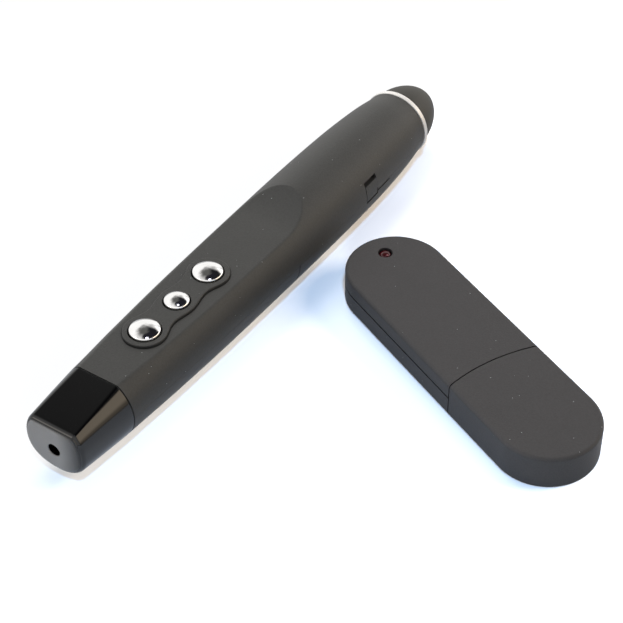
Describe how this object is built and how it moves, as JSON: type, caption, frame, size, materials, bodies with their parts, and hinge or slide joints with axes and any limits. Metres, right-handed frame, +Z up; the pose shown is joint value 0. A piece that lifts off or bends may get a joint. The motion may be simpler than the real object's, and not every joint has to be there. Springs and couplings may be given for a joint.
{
  "type": "wireless presenter",
  "caption": "Pen-shaped wireless presenter with chrome keys on a flat, a laser nose and a side-latched battery door, beside its capped USB receiver.",
  "frame": {"origin": "middle of the underside of the pair's bounding box, on the table", "axes": "+X along the pen from nose to tail, +Z up from the table; the receiver lies on the -Y side with its cap outwards"},
  "size_m": [0.1452, 0.1012, 0.0212],
  "materials": {
    "gloss_black": "gloss",
    "soft_charcoal": "soft-touch matt",
    "chrome": "mirror",
    "tail_grey": "matt",
    "brass": "machined",
    "lens": "clear",
    "steel": "bright",
    "inner_black": "matt",
    "plug_white": "satin",
    "board_green": "satin",
    "cell_jacket": "satin film",
    "receiver_grey": "fine matt",
    "lamp_red": "clear red gloss",
    "gold": "plated"
  },
  "bodies": {
    "pen": {"nose_cap": "gloss_black", "upper_housing": "soft_charcoal", "lower_housing": "soft_charcoal", "tail_ring": "chrome", "tail_cap": "tail_grey", "laser_barrel": "brass", "laser_lens": "lens", "laser_diode": "steel", "switch_body_front": "inner_black", "switch_body_middle": "inner_black", "switch_body_rear": "inner_black", "circuit_board": "board_green", "radio_chip": "inner_black", "clock_crystal": "steel", "boost_inductor": "inner_black", "board_screw_1": "steel", "board_screw_2": "steel", "housing_screw": "steel", "battery_cradle": "inner_black", "battery_cell": "cell_jacket", "contact_plate_front": "steel", "contact_plate_rear": "steel", "contact_spring": "steel"},
    "front_key": {"key_front": "chrome", "switch_plunger_front": "plug_white"},
    "middle_key": {"key_middle": "chrome", "switch_plunger_middle": "plug_white"},
    "rear_key": {"key_rear": "chrome", "switch_plunger_rear": "plug_white"},
    "door": {"battery_door": "soft_charcoal"},
    "receiver": {"receiver_top_shell": "receiver_grey", "receiver_bottom_shell": "receiver_grey", "receiver_board": "board_green", "receiver_lamp": "lamp_red", "receiver_chip": "inner_black", "receiver_crystal": "steel", "usb_plug_shell": "steel", "usb_plug_tongue": "plug_white", "usb_contact_1": "gold", "usb_contact_2": "gold", "usb_contact_3": "gold", "usb_contact_4": "gold"},
    "cap": {"receiver_cap": "receiver_grey"}
  },
  "joints": [
    {"name": "front_key_press", "type": "slide", "parent": "pen", "child": "front_key", "axis": [0, 0, -1], "range_m": [0, 0.0003], "stiffness_N_per_m": 1500, "springref_m": -0.0002},
    {"name": "middle_key_press", "type": "slide", "parent": "pen", "child": "middle_key", "axis": [0, 0, -1], "range_m": [0, 0.0003], "stiffness_N_per_m": 1500, "springref_m": -0.0002},
    {"name": "rear_key_press", "type": "slide", "parent": "pen", "child": "rear_key", "axis": [0, 0, -1], "range_m": [0, 0.0003], "stiffness_N_per_m": 1500, "springref_m": -0.0002},
    {"name": "battery_door_release", "type": "slide", "parent": "pen", "child": "door", "axis": [0, 0, -1], "range_m": [0, 0.012]},
    {"name": "receiver_lift", "type": "slide", "parent": "pen", "child": "receiver", "axis": [0, 0, 1], "range_m": [0, 0.03]},
    {"name": "receiver_cap_pull", "type": "slide", "parent": "receiver", "child": "cap", "axis": [-0.4163, -0.9092, 0], "range_m": [0, 0.022]}
  ]
}
